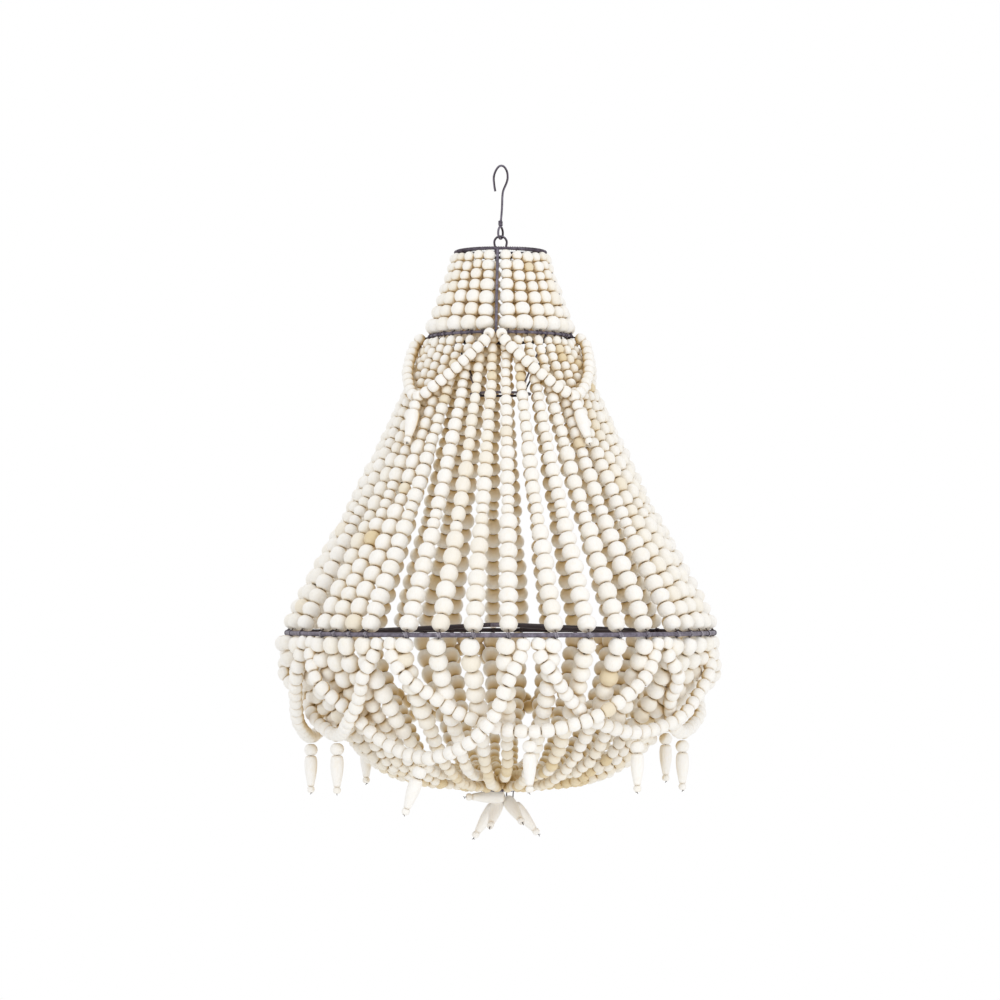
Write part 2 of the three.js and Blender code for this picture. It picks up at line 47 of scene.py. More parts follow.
# How steep a direction may be, as a cosine, before X instead of Z helps to find its sides
UPRIGHT = 0.8
# A path's points from one given point to the next, the least gap between two, and how far to
# both sides its heading looks: a share of its length and a fixed part
PATH_STEPS, LEAST_GAP, HEADING_SHARE, HEADING_LEAST = 14, 1e-6, 0.004, 0.2
SEED = 11
dice = random.Random(SEED)

# Camera, from the photograph, and how many millimetres one of its pixels is at the axis
CAMERA_PLACE = (-0.7, -4333.0, -580.0)
CAMERA_TILT = 1.683
LENS, SENSOR = 115.2, 36.0
PIXEL = 1.354

# Rings: height, radius of the wire's middle, wire
CROWN_Z, CROWN_RADIUS, CROWN_WIRE = -117.0, 60.0, 3.5
NECK_Z, NECK_RADIUS, NECK_WIRE = -232.0, 96.0, 4.0
LAMP_Z, LAMP_RADIUS, LAMP_WIRE = -309.0, 40.0, 3.5
WAIST_Z, WAIST_RADIUS, WAIST_WIRE = -632.0, 288.0, 6.0
HUB_Z, HUB_RADIUS, HUB_WIRE = -843.0, 39.0, 3.0
SPIDER_RISE, SPIDER_RADIUS, SPIDER_WIRE = 10.4, 18.0, 5.8

# Rods from crown to neck, which the stays and the spider's arms match in number, and crossbar
ROD_COUNT, ROD_TURN, ROD_WIRE = 4, -3.6, 4.0
STAY_TURN, STAY_WIRE = 41.4, 2.4
CROSSBAR_WIRE = 3.4

# Hanging loop: its feet stand closer than its bend is wide
LOOP_TOP, LOOP_RADIUS, LOOP_WIRE = -94.5, 8.5, 3.0
LOOP_FOOT, LOOP_FOOT_HEIGHT, LOOP_ARC_STEP, LOOP_STEPS = LOOP_RADIUS - 1.5, 5.0, 15, 60

# Hook: its bend down to the stem as pixels of the photograph, the pixels of its axis and top, and
# its eye, which narrows towards the top
HOOK_WIRE, HOOK_STEPS, EYE_STEPS = 3.0, 120, 44
HOOK_BEND = [
    (495.7, 190.0), (494.7, 183.7), (494.3, 175.3), (496.8, 168.2), (500.3, 164.5),
    (503.8, 164.7), (507.3, 169.6), (508.0, 178.0), (503.8, 189.3), (503.1, 193.0),
    (502.4, 208.0),
]
HOOK_AXIS_X, HOOK_TOP_Y = 501.0, 165.5
EYE_TURN, EYE_HALF_WIDTH, EYE_NARROWING = -35.0, 6.0, 0.16
EYE_TOP, STEM_LIFT = LOOP_TOP + 13.2, 1.5

# Wire wound round wire: the usual binding, the crown ring's winding and its crossbar's lashings,
# the waist and hub bindings, and coils at the hook's stem and the loop's feet (wire, points, step)
BINDING_WIRE, BINDING_PITCH, BINDING_SIDES = 1.1, 1.15, 6
CROWN_BINDING_PITCH, LASHING_LIFT, LASHING_SPOTS = 2.4, 0.6, (-3.5, 0, 3.5)
THICK_BINDING_WIRE, WAIST_BINDING_PITCH, HUB_BINDING_WIRE = 1.2, 1.6, 0.6
COIL_STEPS, COIL_RADIUS = 10, 2.3
STEM_COIL, FOOT_COIL = (1.8, 40, 0.16), (1.2, 60, 0.14)
# Turns of a binding on the neck ring (crown strand, body strand, swag's end), on the waist and
# hub rings, and of a lashing
CROWN_TURNS, BODY_TURNS, TIE_TURNS, WAIST_TURNS, HUB_TURNS, LASHING_TURNS = 2, 2.5, 4, 3, 1, 3
THREAD_WIRE, THREAD_STEPS, THREAD_SIDES = 1.5, 40, 5
# Gap between the hook's eye and the loop, and between a pendant and what it hangs on
SEAT = 0.3

# How finely wires are made: steps round a ring, points in a turn of a binding, sides
RING_STEPS, WAIST_STEPS, LAMP_STEPS, SPIDER_STEPS, HUB_STEPS = 200, 400, 120, 80, 90
BINDING_STEPS, WINDING_STEPS = 12, 9
WIRE_SIDES, THIN_ROD_SIDES, ROD_SIDES, HOOK_SIDES, WAIST_SIDES = 8, 10, 12, 14, 16

# Strands
MODULE_COUNT, MODULE_FIRST = 10, 8.0
STRANDS_PER_MODULE, WAIST_PITCH = 4, 8.0
CROWN_PER_GROUP, CROWN_PITCH = 6, 14.0
BOWL_GROUPS, BOWL_LIFT = 5, 15.0

# Beads down a strand: diameter and length along the wire
CROWN_SMALL_BEADS = [(15, 14), (15, 14), (16, 14.5), (18.5, 16.5), (20, 18)]
CROWN_LARGE_BEADS = [(21.5, 19), (25.5, 21)]
BODY_BEADS = [
    (11.5, 10.5),
    (13.5, 13), (14, 13.4), (14, 13.4), (14, 13.4), (14.5, 13.4), (14.5, 13.4),
    (15.5, 14.5), (16.5, 16), (16.5, 15.8), (16.5, 15.5), (16.5, 14.5),
    (20, 18.5), (20.5, 19.5), (21, 19.5), (20, 18),
    (17.5, 14), (18, 15.5),
    (23.5, 21), (24, 21), (25, 22), (25.5, 22.3), (25.5, 21.5), (25, 20.5), (25, 20.5),
]
BOWL_BEADS = [
    (25, 21), (25.5, 21.5), (25.5, 21.5), (25, 21), (24, 20), (22.5, 18.5), (21, 17.5),
    (19, 16.5), (17.5, 15.5), (16, 15), (16, 15), (15.5, 14.5), (15, 14), (14.5, 14),
    (14.5, 13.5), (14, 13.5), (14, 13), (13.5, 13), (13, 12.5), (13, 12), (12.5, 12),
]
SWAG_BEAD = (18.8, 16.8)
NECK_SWAG_BEAD = (15.5, 13.6)

# Bare wire at a string's upper end (least and most, where it varies) and at its lower end, and
# how far its beads stand off the line
CROWN_HEADS, CROWN_TAIL, CROWN_SHY = (0.5, 3.0), 1.0, 0.35
BODY_HEADS, BODY_TAIL, BODY_SHY = (2.0, 5.0), 3.5, 0.45
BOWL_HEADS, BOWL_TAIL, BOWL_SHY = (0.4, 2.0), 2.0, 0.6
SWAG_END, SWAG_SHY = 1.0, 0.25
NECK_SWAG_END, NECK_SWAG_SHY = 5.0, 0.3

# How beads vary: shares of the listed diameter and length, the share of its room that a bead
# fills, tilt in radians, sizes changed in a row, and how much the crown's small beads vary
DIAMETER_SHARES, LENGTH_SHARES, FILLED_SHARE = (0.955, 1.04), (0.93, 1.06), 0.985
BEAD_TILT, ROW_CHANGES, CROWN_SIZE_SHARES = 0.035, 3, (0.88, 1.14)
# Tones, from pale to tan: how far a strand's own tone and each bead's tone go, how often a bead
# is odd, and how much the tone rises towards the strand's end, which on the bowl's strands is
# painted shade under the bowl, tanner towards the hub
PALE_TONES = (0.2, 0.3, 0.012, 0)
MIXED_TONES = (0.5, 0.42, 0.035, 0)
BOWL_TONES = (0.5, 0.42, 0.035, 0.95)
OWN_TONE_POWER, OWN_TONE_MOST, ODD_TONES = 1.6, 0.72, (0.75, 1.0)

# Crown strands between the rings: mm outside the crown ring, mm under it, share of the lean, and
# how far inside the neck ring's wire they end
CROWN_BULGE = [(10.0, 38.0, 0.4), (24.5, 84.0, 1.0)]
CROWN_LEAN, CROWN_TUCK = 0.8, 3.0

# Shares of the way from the neck ring to the waist ring (radius, height), and from the hub ring
# to the waist ring (radius) and down to the hub ring (depth)
BODY_SHARES = [(0.198, 0.23), (0.5286, 0.57), (0.901, 0.9075), (0.979, 0.98)]
BODY_SWAY = 0.5
BOWL_DEPTH = WAIST_Z - HUB_Z
BOWL_SHARES = [
    (1, 0.071), (0.848, 0.403), (0.667, 0.654), (0.538, 0.815), (0.361, 0.923), (0.165, 0.962),
    (0.06, 0.975),
]
BOWL_LIFT_SHARES = (0.45, 0.8)
# The strands hang a little to the left under the waist ring
BOWL_ASIDE, BOWL_ASIDE_END_SHARE = 4.5, 0.55

# Waist swags: low points (radius share of the ring's, depth share, place aside as a share of a
# module), the peaks' places aside, and half a swag from its low point (angle share of a module,
# outward share, rise share, weave share)
SWAG_DROP, SWAG_HEAD_DROP, SWAG_WIDEST_SHARE, SWAG_WEAVE = 0.583 * BOWL_DEPTH, 20.0, 1.015, 10.5
SWAG_LOW_SHARES = [
    (0.92, 1, 0), (0.885, 1.033, 0), (0.858, 1.081, 0), (0.885, 1.057, 0), (0.885, 1.041, 0),
    (0.885, 1.057, 0), (0.948, 1.122, 0), (0.913, 1.154, 0), (0.833, 1.089, 0), (0.86, 1.283, 0.135),
]
SWAG_PEAK_SHARES = [0, 0.08, -0.04, 0, 0, 0, 0, 0, 0.12, -0.07]
SWAG_SHARES = [
    (0, 0, 0, 0), (0.278, 0.073, 0.065, 0.6), (0.5, 0.3, 0.2, 1),
    (0.667, 0.52, 0.4, 0.8), (0.833, 1, 0.7, 0), (0.939, 0.93, 1, 0),
]

# Neck swags: angle share of the reach, depth share of the drop, share off the strands
NECK_SWAG_DROP, NECK_SWAG_REACH, NECK_SWAG_OFF = 86.0, 41.5, 16.05
NECK_SWAG_SHARES = [
    (0, 1, 0.96), (0.2, 0.89, 0.96), (0.35, 0.75, 0.96), (0.53, 0.58, 0.95), (0.73, 0.36, 0.95),
    (0.93, 0.14, 0.95), (0.975, 0.05, 0.8),
]

# Pendants: round bead (diameter, length), drop's length, end bead, the gaps above drop and end
# bead, the wire, and sideways tilts; the waist's have room to swing under their swag's bead, the
# more the further they tilt
DROP_WIDTH = 17.5
WAIST_ROUND_BEAD, WAIST_DROP_LENGTH = (18.6, 15.7), 41.5
NECK_ROUND_BEAD, NECK_DROP_LENGTH = (15.0, 13.5), 41.0
END_BEAD, DROP_GAP, END_GAP, PENDANT_WIRE = (10.4, 8.0), 0.4, 0.3, 1.2
WAIST_PENDANT_TILTS = [0, 0, 0, 0, 0, 0, 0, 0, 0, -21]
NECK_PENDANT_TILTS = [0, 0, 0, 13]
SWING_ROOM, ROOM_PER_TILT = 2.2, 0.12
PENDANT_TONES, FINIAL_TONES, END_TONES, DROP_TONE_SHARE = (0.0, 0.2), (0.0, 0.3), (0.0, 0.5), 0.8
# The wire's end under a pendant: length, wire, the rise of the direction that sets its side, and
# how far each leg's knee and foot go down, as shares of the length, and its foot aside
TWIST_LENGTH, TWIST_WIRE, TWIST_RISE = 2.6, 0.9, 0.3
TWIST_BENT, TWIST_STRAIGHT = (0.4, 0.2, 2.4), (0.6, 1.0, -0.8)

# Finial drops: wire start (x, y), the drop's wide end from there (x, y, depth), as shares of a
# drop's width, and the direction in which it points
FINIAL_SHARES = [
    (0, -0.45, 0.3, -0.3, 0.48, -1, -0.1, 0),
    (0, 0.9, -0.46, -0.1, 1.2, -0.535, 0, -0.845),
    (-0.34, 0, 0.17, 0, 0.88, -0.22, -0.75, -0.62),
    (1, 0, 0.03, 0.69, 1.15, 0.62, 0, -0.76),
    (0.5, 0, 0, 0, 0.68, 0.4, -0.71, -0.585),
]
# Along a finial drop from its wide end: middle and length of the drop, of the end bead, and where
# its wires begin and end; its lead bends back before it enters
FINIAL_DROP, FINIAL_END, FINIAL_END_WIDTH = (22.0, 43.5), (47.7, 8.0), 10.0
FINIAL_LEAD_WIRE, FINIAL_LEAD_END, FINIAL_LEAD_STEPS = 1.6, 44.0, 30
FINIAL_WIRE_ENDS = (43.0, 53.0)
# The finial drops take only part of the painted shade
FINIAL_BEND_SHARE, FINIAL_BEND_BACK, FINIAL_SHADE_SHARE = 0.65, 1.5, 0.6

# Closed profiles of turned pieces: share of the length from the middle, share of the radius
BEAD_PROFILE = [
    (-0.455, 0.17), (-0.492, 0.42), (-0.41, 0.68), (-0.235, 0.91), (0, 1),
    (0.235, 0.91), (0.41, 0.68), (0.492, 0.42), (0.455, 0.17),
]
BARREL_PROFILE = [
    (-0.455, 0.17), (-0.497, 0.5), (-0.42, 0.76), (-0.23, 0.95), (0, 1),
    (0.23, 0.95), (0.42, 0.76), (0.497, 0.5), (0.455, 0.17),
]
DROP_PROFILE = [
    (-0.48, 0.12), (-0.5, 0.6), (-0.485, 0.74), (-0.44, 0.89), (-0.36, 0.97), (-0.27, 1),
    (-0.12, 0.985), (0.03, 0.92), (0.18, 0.8), (0.32, 0.67), (0.43, 0.56), (0.485, 0.5),
    (0.5, 0.4), (0.48, 0.12),
]
DISC_PROFILE = [
    (-0.42, 0.2), (-0.5, 0.62), (-0.33, 0.9), (0, 1), (0.33, 0.9), (0.5, 0.62), (0.42, 0.2),
]
BEAD_SEGMENTS, ROUND_BEAD_SEGMENTS, DROP_SEGMENTS, DISC_SEGMENTS = 16, 24, 28, 20
TURNED_SHARP, WIRE_SHARP = 50, 60

# Where each turned piece lies in the grain: anywhere within this of its middle
GRAIN_SPREAD = 500.0
# Painted shade where beads stand close and where they face the inside: how far beads reach each
# other, how strongly that and looking inwards count, and how far behind a point's horizon a
# neighbour still counts, as a cosine
CROWD_REACH, CROWD_SHADE_STRENGTH, INWARD_SHADE_STRENGTH, CROWD_SLACK = 60.0, 0.85, 1.0, 0.15

# Metals: dark, rubbed, and inward-facing painted-shade colour, roughness, metallic share
METALS = {
    "dark_steel": ((96, 90, 102), (134, 127, 142), (46, 36, 42), 0.5, 0.15),
    "wound_wire": ((84, 75, 86), (118, 108, 120), (46, 36, 42), 0.5, 0.15),
    "binding_wire": ((150, 145, 156), (190, 185, 196), (66, 54, 58), 0.5, 0.15),
    "thread_wire": ((84, 68, 58), (110, 94, 84), (60, 46, 40), 0.55, 0.1),
}

# Floor and light, in metres and watts: soft lamps (name, place, size, power) and what they face
FLOOR_Z, FLOOR_HALF_WIDTH = -1.6, 2.3
FLOOR_COLOR, FLOOR_ROUGHNESS = (0.9, 0.9, 0.89, 1), 0.9
SOFT_LIGHT, PLAIN_WHITE = 0.875, 1.0
LAMP_AIM = (0, 0, -0.5)
LAMPS = [
    ("key", (-1.5, -3.6, 1.0), 2.4, 14.4),
    ("fill", (1.4, -2.4, -1.45), 1.8, 18.5),
    ("top", (0.3, 0.2, 2.6), 2.2, 9.0),
]


def on_circle(radius, angle, z):
    turn = math.radians(angle)
    return np.array([radius * math.sin(turn), -radius * math.cos(turn), z])


def unit(vector):
    return vector / np.linalg.norm(vector)


def across(axis):
    """A direction square to an axis."""
    helper = Z_WAY if abs(axis[2]) < UPRIGHT else X_WAY
    return unit(np.cross(axis, helper))


class Path:
    """A smooth line through points, measured along its length."""

    def __init__(self, points):
        points = [np.array(p, float) for p in points]
        padded = [2 * points[0] - points[1], *points, 2 * points[-1] - points[-2]]
        dense = []
        for i in range(1, len(padded) - 2):
            dense += self.span(*padded[i - 1:i + 3])
        dense.append(padded[-2])
        self.points = np.array(dense)
        gaps = np.linalg.norm(np.diff(self.points, axis=0), axis=1)
        self.marks = np.concatenate([[0], np.cumsum(gaps)])
        self.length = float(self.marks[-1])

    @staticmethod
    def span(a, b, c, d):
        """The stretch from b to c of a centripetal Catmull-Rom curve."""
        knots = [0.0]
        for p, q in ((a, b), (b, c), (c, d)):
            knots.append(knots[-1] + max(np.linalg.norm(q - p), LEAST_GAP) ** 0.5)
        made = []
        for t in np.linspace(knots[1], knots[2], PATH_STEPS, endpoint=False):
            def mix(p, q, i, j):
                return (p * (knots[j] - t) + q * (t - knots[i])) / (knots[j] - knots[i])
            ab, bc, cd = mix(a, b, 0, 1), mix(b, c, 1, 2), mix(c, d, 2, 3)
            made.append(mix(mix(ab, bc, 0, 2), mix(bc, cd, 1, 3), 1, 2))
        return made

    def at(self, distance):
        return np.array([np.interp(distance, self.marks, self.points[:, k]) for k in range(3)])

    def heading(self, distance):
        reach = self.length * HEADING_SHARE + HEADING_LEAST
        ahead = self.at(min(distance + reach, self.length))
        behind = self.at(max(distance - reach, 0))
        return unit(ahead - behind)

    def sampled(self, count):
        return [self.at(d) for d in np.linspace(0, self.length, count)]


class Turned:
    """Turned wooden pieces, gathered into one mesh, with what the wood's material reads."""

    # They wait until all are in place, so that each point can be told how crowded it is, which sets
    # its painted shade
    waiting = []

    def __init__(self):
        self.points, self.faces, self.grain, self.tone, self.end = [], [], [], [], []
        self.facing, self.owner, self.balls = [], [], []
        # Share of the painted shade that the piece takes
        self.crowd_shade_share = 1.0

    def add(self, centre, axis, size, profile, segments=BEAD_SEGMENTS, tone=None):
        diameter, length = size
        axis = unit(np.array(axis, float))
        side = across(axis)
        other = np.cross(axis, side)
        spin = dice.uniform(0, math.tau)
        shift = np.array([dice.uniform(-GRAIN_SPREAD, GRAIN_SPREAD) for _ in range(3)])
        tone = dice.random() if tone is None else tone
        first = len(self.points)
        count = max(round(length / diameter), 1)
        for i in range(count):
            along = (i + 0.5) / count - 0.5
            self.balls.append((centre + axis * along * length, diameter / 2, first))
        for along, share in profile:
            radius = share * diameter / 2
            for s in range(segments):
                turn = s / segments * math.tau
                radial = side * math.cos(turn) + other * math.sin(turn)
                self.points.append(centre + axis * (along * length) + radial * radius)
                self.facing.append(unit(radial * share + axis * along * 2))
                self.owner.append(first)
                spun = np.array([math.cos(turn + spin), math.sin(turn + spin), 0]) * radius
                self.grain.append(spun + Z_WAY * along * length + shift)
                self.tone.append(tone)
                self.end.append(abs(along) * 2)
        rings = len(profile)
        for i in range(rings):
            here, ahead = first + i * segments, first + (i + 1) % rings * segments
            for s in range(segments):
                after = (s + 1) % segments
                self.faces.append((here + s, here + after, ahead + after, ahead + s))

    def wait(self, name, body, node):
        self.waiting.append((self, name, body, node))

    def make(self, name, body, node, tree, balls):
        made = mesh_object(name, self.points, self.faces, wood, TURNED_SHARP)
        # Painted shade, from how close other beads stand and from facing the inside
        crowd_shade = self.crowd_shade_share * self.paint_crowd_shade(tree, balls)
        store(made.data, "grain", "FLOAT_VECTOR", "vector", self.grain)
        store(made.data, "tone", "FLOAT", "value", self.tone)
        store(made.data, "end", "FLOAT", "value", self.end)
        store(made.data, "crowd_shade", "FLOAT", "value", crowd_shade)
        belongs(made, body, node)

    def paint_crowd_shade(self, tree, balls):
        """Painted shade from 0 to 1: how closely the beads stand round each point, and whether it
        looks inwards.
        """
        points, facing = np.array(self.points), np.array(self.facing)
        owner = np.array(self.owner)
        crowd_shade = np.zeros(len(points))
        for first in np.unique(owner):
            mine = np.where(owner == first)[0]
            middle = points[mine].mean(axis=0)
            near = [i for _, i, _ in tree.find_range(Vector(middle), CROWD_REACH)]
            others = [i for i in near if balls[i][2] is not self or balls[i][3] != first]
            if not others:
                continue
            centres = np.array([balls[i][0] for i in others])
            radii = np.array([balls[i][1] for i in others])
            away = centres[None] - points[mine][:, None]
            distance = np.linalg.norm(away, axis=2)
            cosine = np.einsum("vnk,vk->vn", away / distance[..., None], facing[mine])
            ahead = np.clip(cosine + CROWD_SLACK, 0, 1)
            crowd_shade[mine] = (np.clip(radii[None] / distance, 0, 1) ** 2 * ahead).sum(axis=1)
        flat = points * (X_WAY + Y_WAY)
        flat /= np.maximum(np.linalg.norm(flat, axis=1), 1)[:, None]
        inward = np.clip(-np.einsum("vk,vk->v", flat, facing), 0, 1)
        return 1 - np.exp(-CROWD_SHADE_STRENGTH * crowd_shade - INWARD_SHADE_STRENGTH * inward)

    @classmethod
    def make_all(cls):
        balls = [
            (centre, radius, turned, first)
            for turned, *_ in cls.waiting
            for centre, radius, first in turned.balls
        ]
        tree = KDTree(len(balls))
        for i, (centre, *_) in enumerate(balls):
            tree.insert(Vector(centre), i)
        tree.balance()
        for turned, name, body, node in cls.waiting:
            turned.make(name, body, node, tree, balls)


class Wires:
    """Round wires, gathered into one mesh."""

    def __init__(self):
        self.points, self.faces = [], []

    def add(self, line, diameter, sides=WIRE_SIDES, closed=False):
        line = np.array(line, float)
        count = len(line)
        if closed:
            ahead, behind = np.roll(line, -1, axis=0), np.roll(line, 1, axis=0)
        else:
            ahead = np.vstack([line[1:], line[-1:]])
            behind = np.vstack([line[:1], line[:-1]])
        tangents = ahead - behind
        tangents /= np.linalg.norm(tangents, axis=1)[:, None]
        side = across(tangents[0])
        first = len(self.points)
        for point, tangent in zip(line, tangents):
            side = unit(side - tangent * np.dot(side, tangent))
            other = np.cross(tangent, side)
            for s in range(sides):
                turn = s / sides * math.tau
                radial = side * math.cos(turn) + other * math.sin(turn)
                self.points.append(point + radial * diameter / 2)
        for i in range(count if closed else count - 1):
            here, there = first + i * sides, first + (i + 1) % count * sides
            for s in range(sides):
                after = (s + 1) % sides
                self.faces.append((here + s, here + after, there + after, there + s))
        if not closed:
            self.faces.append(tuple(first + s for s in reversed(range(sides))))
            last = first + (count - 1) * sides
            self.faces.append(tuple(last + s for s in range(sides)))

    def ring(self, radius, z, diameter, steps=RING_STEPS, sides=ROD_SIDES):
        line = [on_circle(radius, i * FULL_TURN / steps, z) for i in range(steps)]
        self.add(line, diameter, sides, closed=True)

    def wrap(self, radius, z, ring_wire, angle, turns,
             wire=BINDING_WIRE, pitch=BINDING_PITCH, steps=BINDING_STEPS):
        """A tight coil of wire round a level ring, at an angle; pitch is in wires."""
        reach = (ring_wire + wire) / 2
        start = angle - math.degrees(turns * wire * pitch / 2 / radius)
        line = []
        for i in range(max(int(turns * steps), 3) + 1):
            turn = i / steps * math.tau
            along = start + math.degrees(i / steps * wire * pitch / radius)
            height = z + reach * math.sin(turn)
            line.append(on_circle(radius + reach * math.cos(turn), along, height))
        self.add(line, wire, BINDING_SIDES)

    def coil(self, start, step, side, other, wire, count, sides):
        """A coil round a straight wire, each point a step on from the one before."""
        line = []
        for i in range(count):
            turn = i / COIL_STEPS * math.tau
            radial = side * math.cos(turn) + other * math.sin(turn)
            line.append(start + step * i + radial * COIL_RADIUS)
        self.add(line, wire, sides)

    def make(self, name, metal, body, node=None):
        made = mesh_object(name, self.points, self.faces, metals[metal], WIRE_SHARP)
        belongs(made, body, node)


def mesh_object(name, points, faces, material, sharp):
    mesh = bpy.data.meshes.new(name)
    mesh.from_pydata((np.array(points) * MM).tolist(), [], faces)
    mesh.validate()
    mesh.polygons.foreach_set("use_smooth", [True] * len(mesh.polygons))
    mesh.set_sharp_from_angle(angle=math.radians(sharp))
    mesh.materials.append(material)
    made = bpy.data.objects.new(name, mesh)
    bpy.context.scene.collection.objects.link(made)
    return made


def store(mesh, name, kind, key, values):
    layer = mesh.attributes.new(name, kind, "POINT")
    layer.data.foreach_set(key, np.array(values, np.float32).ravel())


def belongs(made, body, node):
    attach(made, body)
    if node:
        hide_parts(node)


# Materials
class Nodes:
    """A material's nodes, with short calls to add and join them."""

    def __init__(self, name):
        self.material = bpy.data.materials.new(name)
        self.material.use_nodes = True
        self.tree = self.material.node_tree
        self.shader = self.tree.nodes["Principled BSDF"]

    def add(self, kind, **settings):
        made = self.tree.nodes.new(kind)
        for key, value in settings.items():
            if key in made.inputs:
                made.inputs[key].default_value = value
            else:
                setattr(made, key, value)
        return made

    def attribute(self, name):
        return self.add("ShaderNodeAttribute", attribute_name=name)

    def join(self, source, output, target, socket):
        self.tree.links.new(source.outputs[output], target.inputs[socket])

    def ramp(self, source, output, stops):
        made = self.add("ShaderNodeValToRGB")
        elements = made.color_ramp.elements
        while len(elements) < len(stops):
            elements.new(0.5)
        for element, (place, color) in zip(elements, stops):
            element.position = place
            element.color = (*color, 1) if isinstance(color, tuple) else (color, color, color, 1)
        self.join(source, output, made, "Fac")
        return made.outputs["Color"]

    def mix(self, factor, first, second):
        made = self.add("ShaderNodeMix", data_type="RGBA", blend_type="MIX")
        self.tree.links.new(factor, made.inputs["Factor"])
        for socket, value in (("A", first), ("B", second)):
            target = [s for s in made.inputs if s.name == socket and s.type == "RGBA"][0]
            if isinstance(value, tuple):
                target.default_value = (*value, 1)
            else:
                self.tree.links.new(value, target)
        return [s for s in made.outputs if s.type == "RGBA"][0]

    def surface(self, color, roughness, specular, height, strength, distance):
        """Joins the color, sets the gloss, and adds a bump from a noise; distance in metres."""
        self.tree.links.new(color, self.shader.inputs["Base Color"])
        self.shader.inputs["Roughness"].default_value = roughness
        self.shader.inputs["Specular IOR Level"].default_value = specular
        bump = self.add("ShaderNodeBump", Strength=strength, Distance=distance)
        self.join(height, "Fac", bump, "Height")
        self.join(bump, "Normal", self.shader, "Normal")


def linear(red, green, blue):
    def one(value):
        value /= 255
        return value / 12.92 if value <= 0.04045 else ((value + 0.055) / 1.055) ** 2.4
    return one(red), one(green), one(blue)


def wood_material():
    """Whitewashed turned wood: grain along each bead, cream to tan; darker at the bored ends, where
    beads meet, partly wear and partly painted shade; and painted shade, tan to brown, where beads
    stand close or face the axis."""
    n = Nodes("bead_wood")
    grain, tone = n.attribute("grain"), n.attribute("tone")
    end, crowd_shade = n.attribute("end"), n.attribute("crowd_shade")
    stretch = n.add("ShaderNodeMapping", Scale=(0.42, 0.42, 0.07))
    n.join(grain, "Vector", stretch, "Vector")
    streaks = n.add("ShaderNodeTexNoise", Scale=1.6, Detail=5.0, Roughness=0.62)
    n.join(stretch, "Vector", streaks, "Vector")
    blotches = n.add("ShaderNodeTexNoise", Scale=0.11, Detail=2.0, Roughness=0.5)
    n.join(grain, "Vector", blotches, "Vector")
    base = n.ramp(tone, "Fac", [
        (0.0, linear(251, 249, 246)), (0.45, linear(249, 246, 240)), (0.75, linear(246, 240, 228)),
        (0.92, linear(239, 228, 206)), (1.0, linear(228, 209, 171)),
    ])
    streak_share = n.ramp(streaks, "Fac", [(0.48, 0.0), (0.72, 0.22)])
    streaked = n.mix(streak_share, base, linear(229, 215, 188))
    blotch_share = n.ramp(blotches, "Fac", [(0.52, 0.0), (0.78, 0.25)])
    blotched = n.mix(blotch_share, streaked, linear(243, 233, 210))
    # Darker at the bored ends, where beads meet: partly wear, partly painted shade between beads
    worn_shaded_end_share = n.ramp(end, "Fac", [(0.86, 0.0), (0.98, 0.35)])
    worn_shaded_ends = n.mix(worn_shaded_end_share, blotched, linear(205, 180, 138))
    # Painted shade: tan, then brown, where beads stand close or face the inside, more golden on
    # tanner beads
    crowd_shade_color = n.ramp(crowd_shade, "Fac", [
        (0.45, linear(236, 220, 182)), (0.78, linear(203, 167, 98)), (0.92, linear(128, 94, 48)),
    ])
    golden_shade_share = n.ramp(tone, "Fac", [(0.35, 0.0), (0.75, 0.5)])
    golden_shade = n.mix(golden_shade_share, crowd_shade_color, linear(212, 178, 108))
    painted_shade_share = n.ramp(crowd_shade, "Fac", [(0.3, 0.0), (0.54, 0.18), (0.69, 0.76), (0.84, 0.97)])
    with_painted_shade = n.mix(painted_shade_share, worn_shaded_ends, golden_shade)
    n.surface(with_painted_shade, 0.6, 0.35, streaks, 0.12, 0.0004)
    return n.material


def metal_material(name, dark, light, inward_shade, roughness, metallic):
    """Dark wire, a little uneven and rubbed paler, with painted shade that makes it darkest where it
    faces the axis.
    """
    n = Nodes(name)
    place = n.add("ShaderNodeTexCoord")
    uneven = n.add("ShaderNodeTexNoise", Scale=160.0, Detail=4.0, Roughness=0.6)
    n.join(place, "Object", uneven, "Vector")
    share = n.ramp(uneven, "Fac", [(0.4, 0.0), (0.66, 1.0)])
    rubbed = n.mix(share, linear(*dark), linear(*light))
    # Painted shade: the side that faces the axis turns dark
    flat = n.add("ShaderNodeVectorMath", operation="MULTIPLY")
    flat.inputs[1].default_value = (1, 1, 0)
    n.join(place, "Object", flat, 0)
    away = n.add("ShaderNodeVectorMath", operation="NORMALIZE")
    n.join(flat, "Vector", away, 0)
    facing = n.add("ShaderNodeVectorMath", operation="DOT_PRODUCT")
    n.join(away, "Vector", facing, 0)
    n.join(place, "Normal", facing, 1)
    outward = n.ramp(facing, "Value", [(0.0, 0.0), (0.5, 1.0)])
    color = n.mix(outward, linear(*inward_shade), rubbed)
    n.surface(color, roughness, 0.3, uneven, 0.2, 0.0002)
    n.shader.inputs["Metallic"].default_value = metallic
    return n.material


wood = wood_material()
metals = {name: metal_material(name, *look) for name, look in METALS.items()}

# Wire that the beads hang on, and the coils that bind it to the rings: all ride on the frame
strand_threads, strand_bindings, waist_ring_binding = Wires(), Wires(), Wires()


def coin():
    return dice.random() < 0.5


def uneven_row(beads):
    """The same beads with a few swapped for their neighbour's size, so that rows don't line up."""
    row = list(beads)
    for _ in range(ROW_CHANGES):
        at = dice.randrange(1, len(row) - 1)
        row[at] = row[at + dice.choice((-1, 1))]
        if coin():
            at = dice.randrange(1, len(row) - 1)
            row.insert(at, row[at])
        elif coin():
            row.pop(dice.randrange(1, len(row) - 1))
    return row


